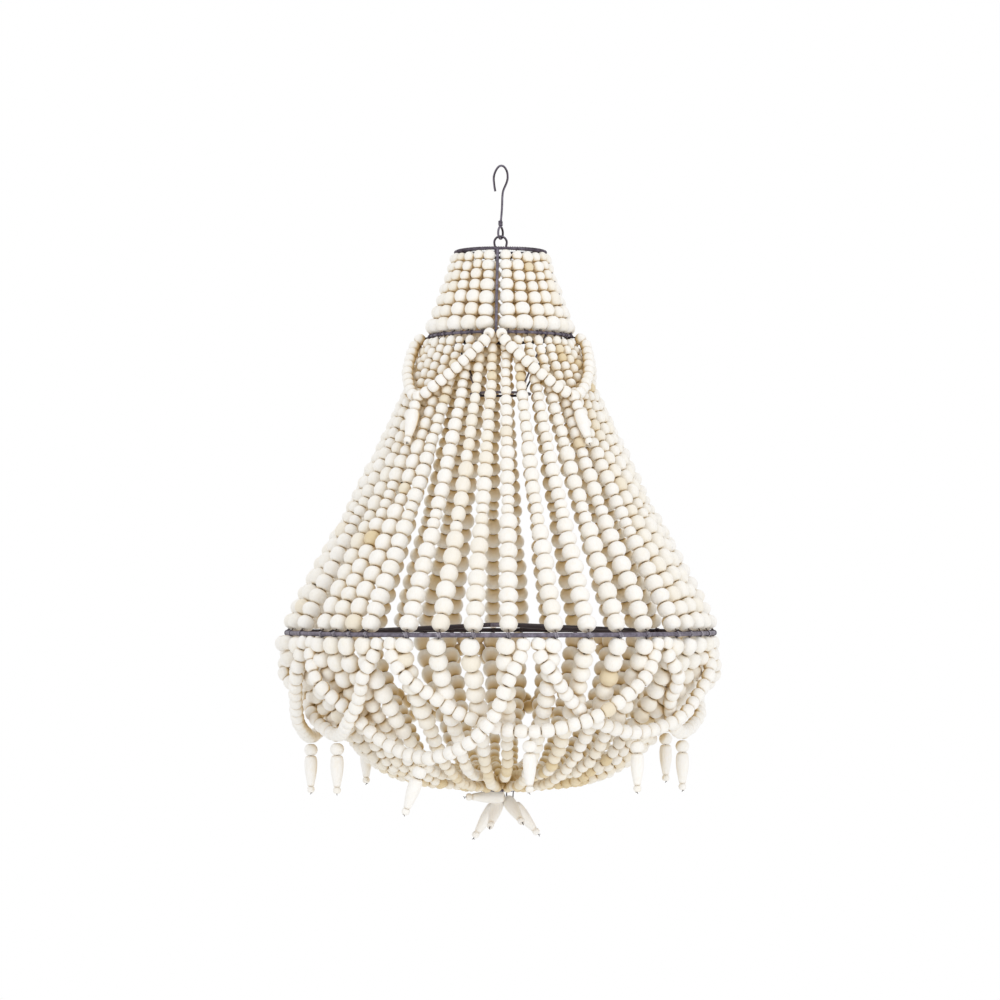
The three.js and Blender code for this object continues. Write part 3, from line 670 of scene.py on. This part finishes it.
def string_beads(turned, path, beads, head, tail, profile, shy, tones=MIXED_TONES):
    """Beads on a path, their lengths fitted to it, with wire free of beads at both ends."""
    sized = [
        (d * dice.uniform(*DIAMETER_SHARES), w * dice.uniform(*LENGTH_SHARES))
        for d, w in beads
    ]
    room = path.length - head - tail
    fit = room / sum(w for _, w in sized)
    at = head
    own, spread, odd, rise = tones
    favourite = dice.random() ** OWN_TONE_POWER * OWN_TONE_MOST
    for diameter, width in sized:
        middle = at + width * fit / 2
        axis = path.heading(middle)
        wobble = np.array([dice.gauss(0, 1) for _ in range(3)])
        wobble -= axis * np.dot(wobble, axis)
        tilt = np.array([dice.gauss(0, BEAD_TILT) for _ in range(3)])
        tone = favourite * own + dice.random() * spread + rise * (at / path.length) ** 2
        if dice.random() < odd:
            tone = dice.uniform(*ODD_TONES)
        size = (diameter, width * fit * FILLED_SHARE)
        turned.add(path.at(middle) + wobble * shy, axis + tilt, size, profile, tone=tone)
        at += width * fit
    strand_threads.add(path.sampled(THREAD_STEPS), THREAD_WIRE, THREAD_SIDES)


def peak_turn(index):
    return SWAG_PEAK_SHARES[index % len(SWAG_PEAK_SHARES)]


def module_strands(module):
    """The angles of a module's strands, at the waist ring and evenly spread at the other ring."""
    width = FULL_TURN / MODULE_COUNT
    start = MODULE_FIRST + module * width
    reach = (STRANDS_PER_MODULE - 1) * WAIST_PITCH
    for i in range(STRANDS_PER_MODULE):
        along = i / (STRANDS_PER_MODULE - 1)
        shift = peak_turn(module) * (1 - along) + peak_turn(module + 1) * along
        waist = start + (width - reach) / 2 + i * WAIST_PITCH + shift * width
        yield waist, start + (i + 0.5) * width / STRANDS_PER_MODULE


def crown_path(angle, lean):
    bulge = [
        on_circle(CROWN_RADIUS + out, angle + lean * share, CROWN_Z - depth)
        for out, depth, share in CROWN_BULGE
    ]
    top = on_circle(CROWN_RADIUS, angle, CROWN_Z - CROWN_WIRE / 2)
    foot = on_circle(NECK_RADIUS - CROWN_TUCK, angle, NECK_Z + NECK_WIRE / 2)
    return Path([top, *bulge, foot])


def crown_beads():
    """The small beads vary, each keeping its form, and the large ones don't."""
    sizes = [dice.uniform(*CROWN_SIZE_SHARES) for _ in CROWN_SMALL_BEADS]
    return [(d * s, w * s) for (d, w), s in zip(CROWN_SMALL_BEADS, sizes)] + CROWN_LARGE_BEADS


def make_crown_strands():
    quarter = FULL_TURN / ROD_COUNT
    reach = (CROWN_PER_GROUP - 1) * CROWN_PITCH
    for group in range(ROD_COUNT):
        turned = Turned()
        first = ROD_TURN + group * quarter + (quarter - reach) / 2
        for i in range(CROWN_PER_GROUP):
            angle = first + i * CROWN_PITCH
            path = crown_path(angle, dice.uniform(-CROWN_LEAN, CROWN_LEAN))
            beads = crown_beads()
            head = dice.uniform(*CROWN_HEADS)
            string_beads(turned, path, beads, head, CROWN_TAIL, BEAD_PROFILE, CROWN_SHY)
            strand_bindings.wrap(NECK_RADIUS, NECK_Z, NECK_WIRE, angle, CROWN_TURNS)
        name = "crown_strands_%d" % (group + 1)
        turned.wait(name + "_beads", "frame", name)


def body_place(row):
    radius_share, depth_share = row
    radius = NECK_RADIUS + radius_share * (WAIST_RADIUS - NECK_RADIUS)
    return radius, NECK_Z + depth_share * (WAIST_Z - NECK_Z)


def body_path(waist, even, sway):
    points = [on_circle(NECK_RADIUS, even, NECK_Z - NECK_WIRE / 2)]
    for row in BODY_SHARES:
        radius, z = body_place(row)
        angle = even + (waist - even) * row[1] + sway * math.sin(row[1] * math.pi)
        points.append(on_circle(radius, angle, z))
    points.append(on_circle(WAIST_RADIUS, waist, WAIST_Z + WAIST_WIRE / 2))
    return Path(points)


def make_body_strands():
    for module in range(MODULE_COUNT):
        turned = Turned()
        for i, (waist, even) in enumerate(module_strands(module)):
            path = body_path(waist, even, dice.uniform(-BODY_SWAY, BODY_SWAY))
            beads = uneven_row(BODY_BEADS if i % 2 else BODY_BEADS[1:])
            head = dice.uniform(*BODY_HEADS)
            string_beads(turned, path, beads, head, BODY_TAIL, BEAD_PROFILE, BODY_SHY)
            strand_bindings.wrap(NECK_RADIUS, NECK_Z, NECK_WIRE, even, BODY_TURNS)
            waist_ring_binding.wrap(WAIST_RADIUS, WAIST_Z, WAIST_WIRE, waist, WAIST_TURNS,
                                    wire=THICK_BINDING_WIRE, pitch=WAIST_BINDING_PITCH)
        name = "body_strands_%d" % (module + 1)
        turned.wait(name + "_beads", "frame", name)


def hung_aside(place):
    depth_share = (WAIST_Z - place[2]) / BOWL_DEPTH
    place[0] -= BOWL_ASIDE * max(1 - depth_share / BOWL_ASIDE_END_SHARE, 0)
    return place


def bowl_path(waist, even, lift):
    """From the waist ring to the hub ring; every other strand is lifted where they grow close."""
    points = [on_circle(WAIST_RADIUS, waist, WAIST_Z - WAIST_WIRE / 2)]
    low, high = BOWL_LIFT_SHARES
    for radius_share, depth_share in BOWL_SHARES:
        inward = 1 - radius_share
        ease = min(max((inward - low) / (high - low), 0), 1)
        raised = lift * ease * ease * (3 - 2 * ease)
        radius = HUB_RADIUS + radius_share * (WAIST_RADIUS - HUB_RADIUS)
        z = WAIST_Z - depth_share * BOWL_DEPTH + raised
        points.append(hung_aside(on_circle(radius, waist + (even - waist) * inward, z)))
    points.append(on_circle(HUB_RADIUS, even, HUB_Z + HUB_WIRE / 2))
    return Path(points)


def make_bowl_strands():
    per_group = MODULE_COUNT // BOWL_GROUPS
    for group in range(BOWL_GROUPS):
        turned = Turned()
        for m in range(per_group):
            for i, (waist, even) in enumerate(module_strands(group * per_group + m)):
                path = bowl_path(waist, even, BOWL_LIFT if i % 2 else 0.0)
                beads = uneven_row(BOWL_BEADS)
                head = dice.uniform(*BOWL_HEADS)
                string_beads(turned, path, beads, head, BOWL_TAIL, BEAD_PROFILE, BOWL_SHY,
                             BOWL_TONES)
                strand_bindings.wrap(HUB_RADIUS, HUB_Z, HUB_WIRE, even, HUB_TURNS,
                                     wire=HUB_BINDING_WIRE)
        name = "bowl_strands_%d" % (group + 1)
        turned.wait(name + "_beads", "frame", name)


def swag_low(index):
    radius_share, depth_share, turn_share = SWAG_LOW_SHARES[index % len(SWAG_LOW_SHARES)]
    return radius_share * WAIST_RADIUS, depth_share * SWAG_DROP, turn_share


def half_and_half(rows, place):
    """A swag's points from one half of it, which is listed from its low point up."""
    return [place(row, -1) for row in reversed(rows[1:])] + [place(row, 1) for row in rows]


def make_waist_swags():
    width = FULL_TURN / MODULE_COUNT
    widest = SWAG_WIDEST_SHARE * WAIST_RADIUS
    reach = SWAG_SHARES[-1][0] * width
    for i in range(MODULE_COUNT):
        middle = MODULE_FIRST + i * width
        own_radius, own_depth, own_turn = swag_low(i)

        def place(row, hand):
            angle_share, out_share, rise_share, weave_share = row
            beside, *_ = swag_low(i + hand)
            low = own_radius + (beside - own_radius) * weave_share / 2
            radius = low + out_share * (widest - low) + hand * weave_share * SWAG_WEAVE
            depth = own_depth - rise_share * (own_depth - SWAG_HEAD_DROP)
            shift = own_turn * (1 - out_share) + peak_turn(i + hand) * out_share
            angle = middle + (hand * angle_share + shift) * width
            return hung_aside(on_circle(radius, angle, WAIST_Z - depth))

        first, last = (
            on_circle(WAIST_RADIUS, middle + hand * reach + peak_turn(i + hand) * width,
                      WAIST_Z - WAIST_WIRE / 2)
            for hand in (-1, 1)
        )
        path = Path([first, *half_and_half(SWAG_SHARES, place), last])
        beads = [SWAG_BEAD] * round((path.length - 2 * SWAG_END) / SWAG_BEAD[1])
        turned = Turned()
        string_beads(turned, path, beads, SWAG_END, SWAG_END, BARREL_PROFILE, SWAG_SHY, PALE_TONES)
        name = "waist_swag_%d" % (i + 1)
        turned.wait(name + "_beads", "frame", name)


def strand_near_neck(z):
    radius, upper_z = body_place(BODY_SHARES[0])
    return NECK_RADIUS + (radius - NECK_RADIUS) * (NECK_Z - z) / (NECK_Z - upper_z)


def neck_swag_place(row):
    z = NECK_Z - row[1] * NECK_SWAG_DROP
    return strand_near_neck(z) + row[2] * NECK_SWAG_OFF, z


def make_neck_swags():
    tie = NECK_RADIUS + NECK_WIRE / 2
    for i in range(ROD_COUNT):
        middle = ROD_TURN + (i + 0.5) * FULL_TURN / ROD_COUNT

        def place(row, hand):
            radius, z = neck_swag_place(row)
            return on_circle(radius, middle + hand * row[0] * NECK_SWAG_REACH, z)

        first, last = (on_circle(tie, middle + hand * NECK_SWAG_REACH, NECK_Z) for hand in (-1, 1))
        path = Path([first, *half_and_half(NECK_SWAG_SHARES, place), last])
        beads = [NECK_SWAG_BEAD] * round((path.length - 2 * NECK_SWAG_END) / NECK_SWAG_BEAD[1])
        turned = Turned()
        string_beads(turned, path, beads, NECK_SWAG_END, NECK_SWAG_END, BARREL_PROFILE,
                     NECK_SWAG_SHY, PALE_TONES)
        name = "neck_swag_%d" % (i + 1)
        turned.wait(name + "_beads", "frame", name)
        for hand in (-1, 1):
            angle = middle + hand * NECK_SWAG_REACH
            strand_bindings.wrap(NECK_RADIUS, NECK_Z, NECK_WIRE, angle, TIE_TURNS)


def twist(wires, end, axis):
    """The wire's end below a pendant: two short legs bent aside over the end bead."""
    way = np.array([dice.uniform(-1, 1), dice.uniform(-1, 1), TWIST_RISE])
    side = unit(np.cross(axis, way))
    for knee, foot, aside in (TWIST_BENT, TWIST_STRAIGHT):
        line = [end - axis, end + axis * TWIST_LENGTH * knee]
        line.append(end + axis * TWIST_LENGTH * foot + side * aside)
        wires.add(line, TWIST_WIRE, BINDING_SIDES)


def make_pendant(name, pivot, axis, hang_bead, round_bead, drop_length):
    turned, wires = Turned(), Wires()
    top = hang_bead / 2 + SEAT
    at = top
    tone = dice.uniform(*PENDANT_TONES)
    rows = [
        (round_bead, BEAD_PROFILE, ROUND_BEAD_SEGMENTS, tone, DROP_GAP),
        ((DROP_WIDTH, drop_length), DROP_PROFILE, DROP_SEGMENTS, tone * DROP_TONE_SHARE, END_GAP),
        (END_BEAD, DISC_PROFILE, DISC_SEGMENTS, None, 0),
    ]
    for size, profile, segments, own_tone, gap in rows:
        if own_tone is None:
            own_tone = dice.uniform(*END_TONES)
        turned.add(pivot + axis * (at + size[1] / 2), axis, size, profile, segments, own_tone)
        at += size[1] + gap
    wires.add([pivot + axis * top, pivot + axis * at], PENDANT_WIRE)
    twist(wires, pivot + axis * at, axis)
    turned.wait(name + "_turned", name, name)
    wires.make(name + "_wire", "thread_wire", name)


def hanging_axis(angle, lean, tilt):
    """Where a pendant points: down, leaning out in radians and tilted sideways in degrees."""
    aside = math.radians(tilt)
    out = on_circle(math.sin(lean), angle, -math.cos(aside) * math.cos(lean))
    return out + on_circle(math.sin(aside) * math.cos(lean), angle + 90, 0)


def make_pendants():
    for i, tilt in enumerate(WAIST_PENDANT_TILTS):
        radius, depth, turn_share = swag_low(i)
        angle = MODULE_FIRST + (i + turn_share) * FULL_TURN / MODULE_COUNT
        pivot = on_circle(radius, angle, WAIST_Z - depth)
        hang_bead = SWAG_BEAD[0] + SWING_ROOM + ROOM_PER_TILT * abs(tilt)
        make_pendant("waist_pendant_%d" % (i + 1), pivot, hanging_axis(angle, 0, tilt),
                     hang_bead, WAIST_ROUND_BEAD, WAIST_DROP_LENGTH)
    radius, z = neck_swag_place(NECK_SWAG_SHARES[0])
    upper, lower = body_place(BODY_SHARES[0]), body_place(BODY_SHARES[1])
    lean = math.atan((lower[0] - upper[0]) / (upper[1] - lower[1]))
    for i, tilt in enumerate(NECK_PENDANT_TILTS):
        angle = ROD_TURN + (i + 0.5) * FULL_TURN / ROD_COUNT
        pivot = on_circle(radius, angle, z)
        make_pendant("neck_pendant_%d" % (i + 1), pivot, hanging_axis(angle, lean, tilt),
                     NECK_SWAG_BEAD[0], NECK_ROUND_BEAD, NECK_DROP_LENGTH)


def make_finial():
    drop_middle, drop_length = FINIAL_DROP
    end_middle, end_length = FINIAL_END
    for i, (x, y, on_x, on_y, depth, *aim) in enumerate(FINIAL_SHARES):
        turned, wires = Turned(), Wires()
        turned.crowd_shade_share = FINIAL_SHADE_SHARE
        start = np.array([x * DROP_WIDTH, y * DROP_WIDTH, HUB_Z - HUB_WIRE / 2])
        top = start + np.array([on_x, on_y, -depth]) * DROP_WIDTH
        axis = unit(np.array(aim))
        tone = dice.uniform(*FINIAL_TONES)
        turned.add(top + axis * drop_middle, axis, (DROP_WIDTH, drop_length), DROP_PROFILE,
                   DROP_SEGMENTS, tone)
        turned.add(top + axis * end_middle, axis, (FINIAL_END_WIDTH, end_length), DISC_PROFILE,
                   DISC_SEGMENTS, dice.uniform(*END_TONES))
        bend = start + (top - start) * FINIAL_BEND_SHARE - axis * FINIAL_BEND_BACK
        lead = Path([start, bend, top, top + axis * FINIAL_LEAD_END])
        wires.add(lead.sampled(FINIAL_LEAD_STEPS), FINIAL_LEAD_WIRE)
        wire_start, wire_end = (top + axis * d for d in FINIAL_WIRE_ENDS)
        wires.add([wire_start, wire_end], PENDANT_WIRE, BINDING_SIDES)
        twist(wires, wire_end, axis)
        name = "finial_drop_%d" % (i + 1)
        turned.wait(name + "_turned", "frame", name)
        wires.make(name + "_wire", "thread_wire", "frame")


def make_hook():
    wires = Wires()
    stem_end = Z_WAY * (EYE_TOP + STEM_LIFT)
    bend = [
        np.array([(x - HOOK_AXIS_X) * PIXEL, 0.0, (HOOK_TOP_Y - y) * PIXEL])
        for x, y in HOOK_BEND
    ]
    wires.add(Path([*bend, stem_end]).sampled(HOOK_STEPS), HOOK_WIRE, HOOK_SIDES)
    facing = on_circle(1, EYE_TURN, 0)
    low = LOOP_TOP - (LOOP_WIRE + HOOK_WIRE) / 2 - SEAT
    eye = []
    for turn in np.linspace(0, math.tau, EYE_STEPS, endpoint=False):
        narrowed = 1 - EYE_NARROWING * (1 + math.cos(turn)) / 2
        height = (low + EYE_TOP) / 2 + (EYE_TOP - low) / 2 * math.cos(turn)
        eye.append(facing * EYE_HALF_WIDTH * math.sin(turn) * narrowed + Z_WAY * height)
    wires.add(eye, HOOK_WIRE, ROD_SIDES, closed=True)
    wire, count, step = STEM_COIL
    wires.coil(stem_end, Z_WAY * step, X_WAY, Y_WAY, wire, count, WIRE_SIDES)
    wires.make("hanging_hook_wire", "dark_steel", "hook", "hanging_hook")


def make_crown_frame():
    crown = Wires()
    crown.ring(CROWN_RADIUS, CROWN_Z, CROWN_WIRE)
    bar = [on_circle(CROWN_RADIUS, hand * 90, CROWN_Z) for hand in (-1, 1)]
    crown.add(bar, CROSSBAR_WIRE, ROD_SIDES)
    heights = (CROWN_Z, CROWN_Z + LOOP_FOOT_HEIGHT)
    loop = [np.array([-LOOP_FOOT, 0, z]) for z in heights]
    for turn in range(180, -1, -LOOP_ARC_STEP):
        turned = math.radians(turn)
        arc = X_WAY * math.cos(turned) + Z_WAY * math.sin(turned)
        loop.append(Z_WAY * (LOOP_TOP - LOOP_RADIUS) + arc * LOOP_RADIUS)
    loop += [np.array([LOOP_FOOT, 0, z]) for z in reversed(heights)]
    crown.add(Path(loop).sampled(LOOP_STEPS), LOOP_WIRE, ROD_SIDES)
    for i in range(ROD_COUNT):
        angle = ROD_TURN + i * FULL_TURN / ROD_COUNT
        foot = on_circle(NECK_RADIUS, angle, NECK_Z + NECK_WIRE / 2)
        crown.add([on_circle(CROWN_RADIUS, angle, CROWN_Z), foot], ROD_WIRE, ROD_SIDES)
    crown.make("crown_frame_wires", "dark_steel", "frame", "crown_frame")


def make_crown_binding():
    """Wire wound all round the crown ring, lashings at its crossbar, coils at the loop's feet."""
    binding = Wires()
    turns = int(math.tau * CROWN_RADIUS / CROWN_BINDING_PITCH)
    binding.wrap(CROWN_RADIUS, CROWN_Z, CROWN_WIRE, 0, turns,
                 pitch=CROWN_BINDING_PITCH / BINDING_WIRE, steps=WINDING_STEPS)
    for hand in (-1, 1):
        for spot in LASHING_SPOTS:
            binding.wrap(CROWN_RADIUS, CROWN_Z, CROWN_WIRE + LASHING_LIFT, hand * 90 + spot,
                         LASHING_TURNS, wire=THICK_BINDING_WIRE)
    wire, count, step = FOOT_COIL
    for hand in (-1, 1):
        start = np.array([hand * LOOP_FOOT - count / 2 * step, 0, CROWN_Z])
        binding.coil(start, X_WAY * step, Y_WAY, Z_WAY, wire, count, BINDING_SIDES)
    binding.make("crown_ring_binding", "wound_wire", "frame")


def make_rings():
    neck, waist, lamp, spider, hub = Wires(), Wires(), Wires(), Wires(), Wires()
    neck.ring(NECK_RADIUS, NECK_Z, NECK_WIRE)
    neck.make("neck_ring_rod", "dark_steel", "frame", "neck_ring")
    waist.ring(WAIST_RADIUS, WAIST_Z, WAIST_WIRE, WAIST_STEPS, WAIST_SIDES)
    waist.make("waist_ring_rod", "dark_steel", "frame", "waist_ring")

    lamp.ring(LAMP_RADIUS, LAMP_Z, LAMP_WIRE, LAMP_STEPS)
    spider_z = WAIST_Z + SPIDER_RISE
    spider.ring(SPIDER_RADIUS, spider_z, SPIDER_WIRE, SPIDER_STEPS)
    for i in range(ROD_COUNT):
        angle = STAY_TURN + i * FULL_TURN / ROD_COUNT
        stay_end = on_circle(NECK_RADIUS - (NECK_WIRE + STAY_WIRE) / 2, angle, NECK_Z)
        lamp.add([on_circle(LAMP_RADIUS, angle, LAMP_Z), stay_end], STAY_WIRE, THIN_ROD_SIDES)
        arm_end = on_circle(WAIST_RADIUS - WAIST_WIRE / 2, angle, WAIST_Z)
        spider.add([on_circle(SPIDER_RADIUS, angle, spider_z), arm_end], SPIDER_WIRE, ROD_SIDES)
    lamp.make("lamp_ring_wires", "dark_steel", "frame", "lamp_ring")
    spider.make("waist_spider_wires", "dark_steel", "frame", "waist_spider")

    hub.ring(HUB_RADIUS, HUB_Z, HUB_WIRE, HUB_STEPS)
    for angle in (0, 90):
        crossing = [on_circle(HUB_RADIUS, angle + turn, HUB_Z) for turn in (0, 180)]
        hub.add(crossing, HUB_WIRE, THIN_ROD_SIDES)
    hub.make("hub_ring_wires", "dark_steel", "frame", "hub_ring")


def make_floor():
    half = FLOOR_HALF_WIDTH
    corners = [(x * half, y * half, FLOOR_Z) for x, y in ((-1, -1), (1, -1), (1, 1), (-1, 1))]
    mesh = bpy.data.meshes.new("floor")
    mesh.from_pydata(corners, [], [(0, 1, 2, 3)])
    floor = bpy.data.objects.new("floor", mesh)
    bpy.context.scene.collection.objects.link(floor)
    n = Nodes("floor")
    n.shader.inputs["Base Color"].default_value = FLOOR_COLOR
    n.shader.inputs["Roughness"].default_value = FLOOR_ROUGHNESS
    mesh.materials.append(n.material)


def make_world():
    """Soft light all round, which the camera and mirrored rays see as plain white."""
    world = bpy.data.worlds.new("studio")
    bpy.context.scene.world = world
    world.use_nodes = True
    tree = world.node_tree
    tree.nodes.clear()
    rays = tree.nodes.new("ShaderNodeLightPath")
    seen = rays.outputs["Is Camera Ray"]
    for kind in ("Is Glossy Ray", "Is Transmission Ray"):
        either = tree.nodes.new("ShaderNodeMath")
        either.operation = "MAXIMUM"
        tree.links.new(seen, either.inputs[0])
        tree.links.new(rays.outputs[kind], either.inputs[1])
        seen = either.outputs[0]
    mix = tree.nodes.new("ShaderNodeMixShader")
    tree.links.new(seen, mix.inputs["Fac"])
    for socket, strength in ((1, SOFT_LIGHT), (2, PLAIN_WHITE)):
        background = tree.nodes.new("ShaderNodeBackground")
        background.inputs["Color"].default_value = (1, 1, 1, 1)
        background.inputs["Strength"].default_value = strength
        tree.links.new(background.outputs[0], mix.inputs[socket])
    out = tree.nodes.new("ShaderNodeOutputWorld")
    tree.links.new(mix.outputs[0], out.inputs["Surface"])


def make_lamps():
    for name, place, size, power in LAMPS:
        data = bpy.data.lights.new(name, "AREA")
        data.shape = "SQUARE"
        data.size = size
        data.energy = power
        lamp = bpy.data.objects.new(name, data)
        lamp.location = place
        lamp.rotation_mode = "QUATERNION"
        aim = np.array(LAMP_AIM) - np.array(place)
        lamp.rotation_quaternion = Vector(aim).to_track_quat("-Z", "Y")
        bpy.context.scene.collection.objects.link(lamp)


def make_camera():
    data = bpy.data.cameras.new("camera")
    data.lens = LENS
    data.sensor_width = SENSOR
    camera = bpy.data.objects.new("camera", data)
    camera.location = [v * MM for v in CAMERA_PLACE]
    camera.rotation_euler = (math.radians(90 + CAMERA_TILT), 0, 0)
    bpy.context.scene.collection.objects.link(camera)
    bpy.context.scene.camera = camera


make_camera()
make_floor()
make_world()
make_lamps()
make_hook()
make_crown_frame()
make_crown_binding()
make_rings()
make_crown_strands()
make_body_strands()
make_bowl_strands()
make_waist_swags()
make_neck_swags()
make_pendants()
make_finial()
Turned.make_all()
strand_threads.make("strand_threads", "thread_wire", "frame")
strand_bindings.make("strand_bindings", "wound_wire", "frame")
waist_ring_binding.make("waist_ring_binding", "binding_wire", "frame")

bpy.context.scene.view_settings.view_transform = "Standard"
